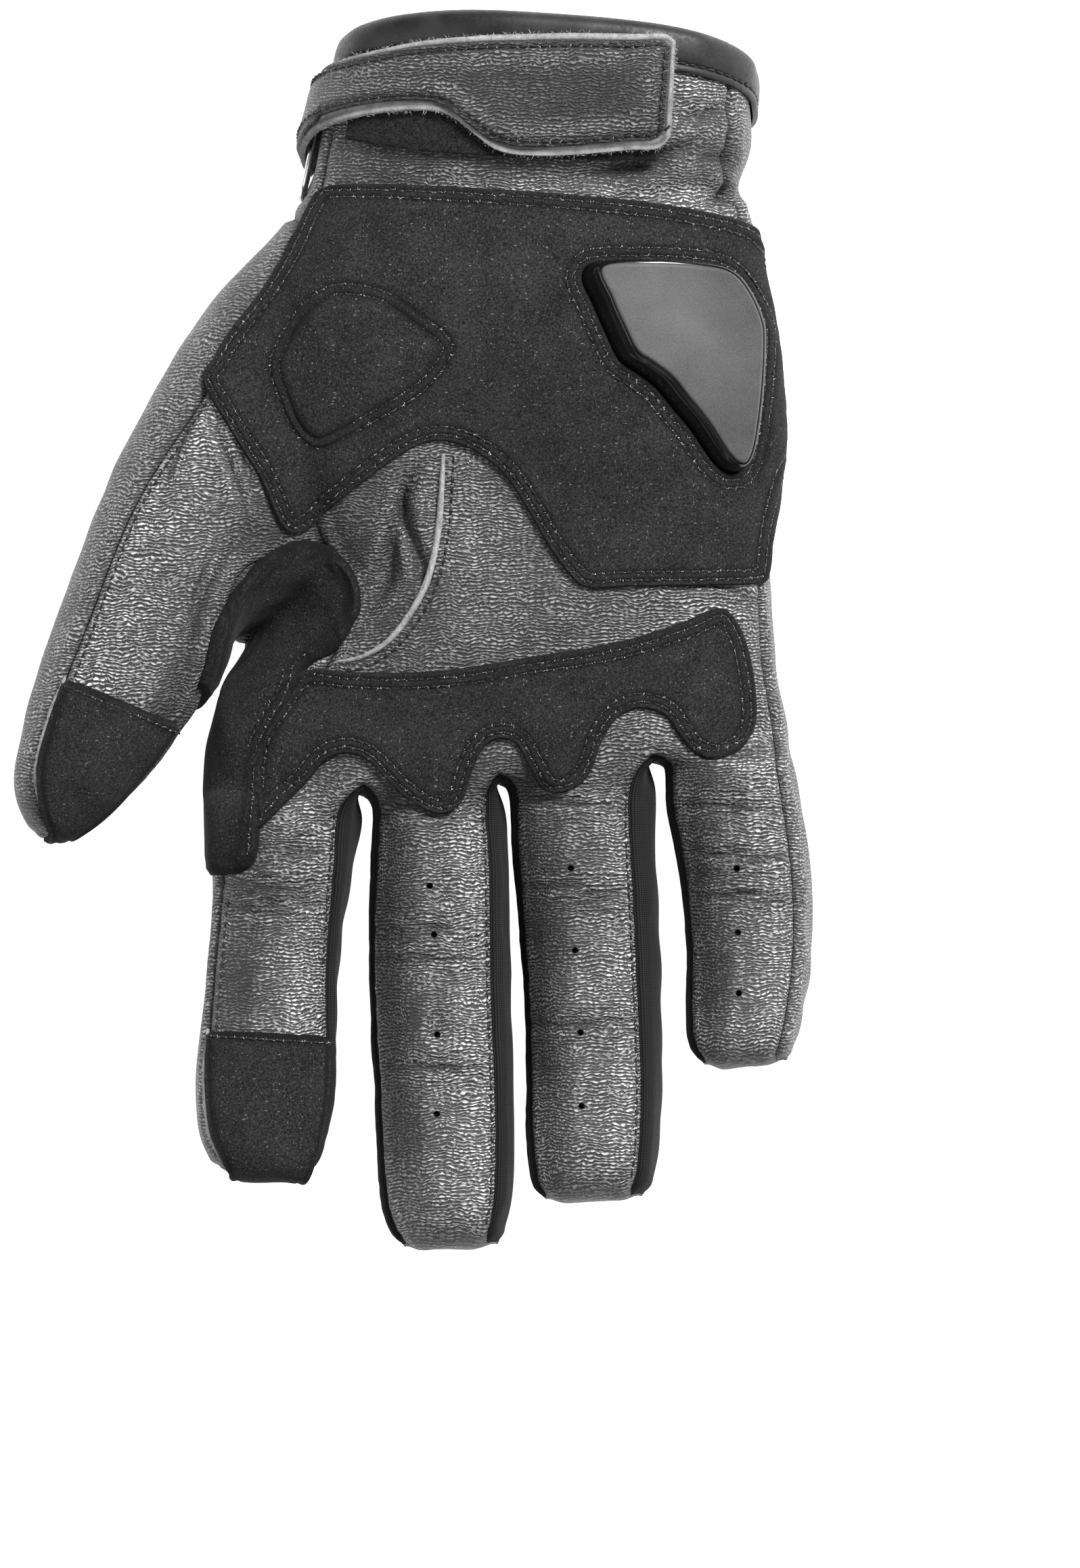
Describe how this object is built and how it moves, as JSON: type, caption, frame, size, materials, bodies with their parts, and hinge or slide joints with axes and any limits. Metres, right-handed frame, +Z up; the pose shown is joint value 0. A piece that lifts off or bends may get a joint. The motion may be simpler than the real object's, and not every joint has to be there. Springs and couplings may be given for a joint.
{
  "type": "motorcycle glove",
  "caption": "Right-hand leather motorcycle glove lying palm up, with suede palm overlays, a hard palm slider and a strap at the wrist.",
  "frame": {"origin": "under the middle of the whole glove's box, on the floor that the glove's back lies on", "axes": "+X to the little finger's side, +Y to the cuff, +Z up out of the palm"},
  "size_m": [0.1578, 0.2446, 0.05],
  "materials": {
    "grained_leather": "pebbled grain leather, silver grey with dark hollows",
    "smooth_leather": "smooth black leather, semi-gloss",
    "suede": "charcoal suede",
    "knit": "black ribbed stretch knit",
    "loop_pile": "black loop pile",
    "raw_edge": "light raw leather edge",
    "gloss_plastic": "gloss black",
    "satin_plastic": "satin grey",
    "steel": "polished wire"
  },
  "bodies": {
    "root": {"palm_panel": "grained_leather", "back_panel": "grained_leather", "fourchette_index_middle": "knit", "fourchette_middle_ring": "knit", "fourchette_ring_little": "knit", "thumb_front": "grained_leather", "thumb_back": "grained_leather", "palm_patch": "suede", "knuckle_patch": "suede", "web_patch": "suede", "thumb_tip_patch": "suede", "index_tip_patch": "suede", "seam_welt": "raw_edge", "slider_base": "gloss_plastic", "slider_plate": "satin_plastic", "loop_patch": "loop_pile", "wrist_strap": "grained_leather", "cuff_binding": "smooth_leather", "strap_ring": "steel"}
  },
  "joints": []
}
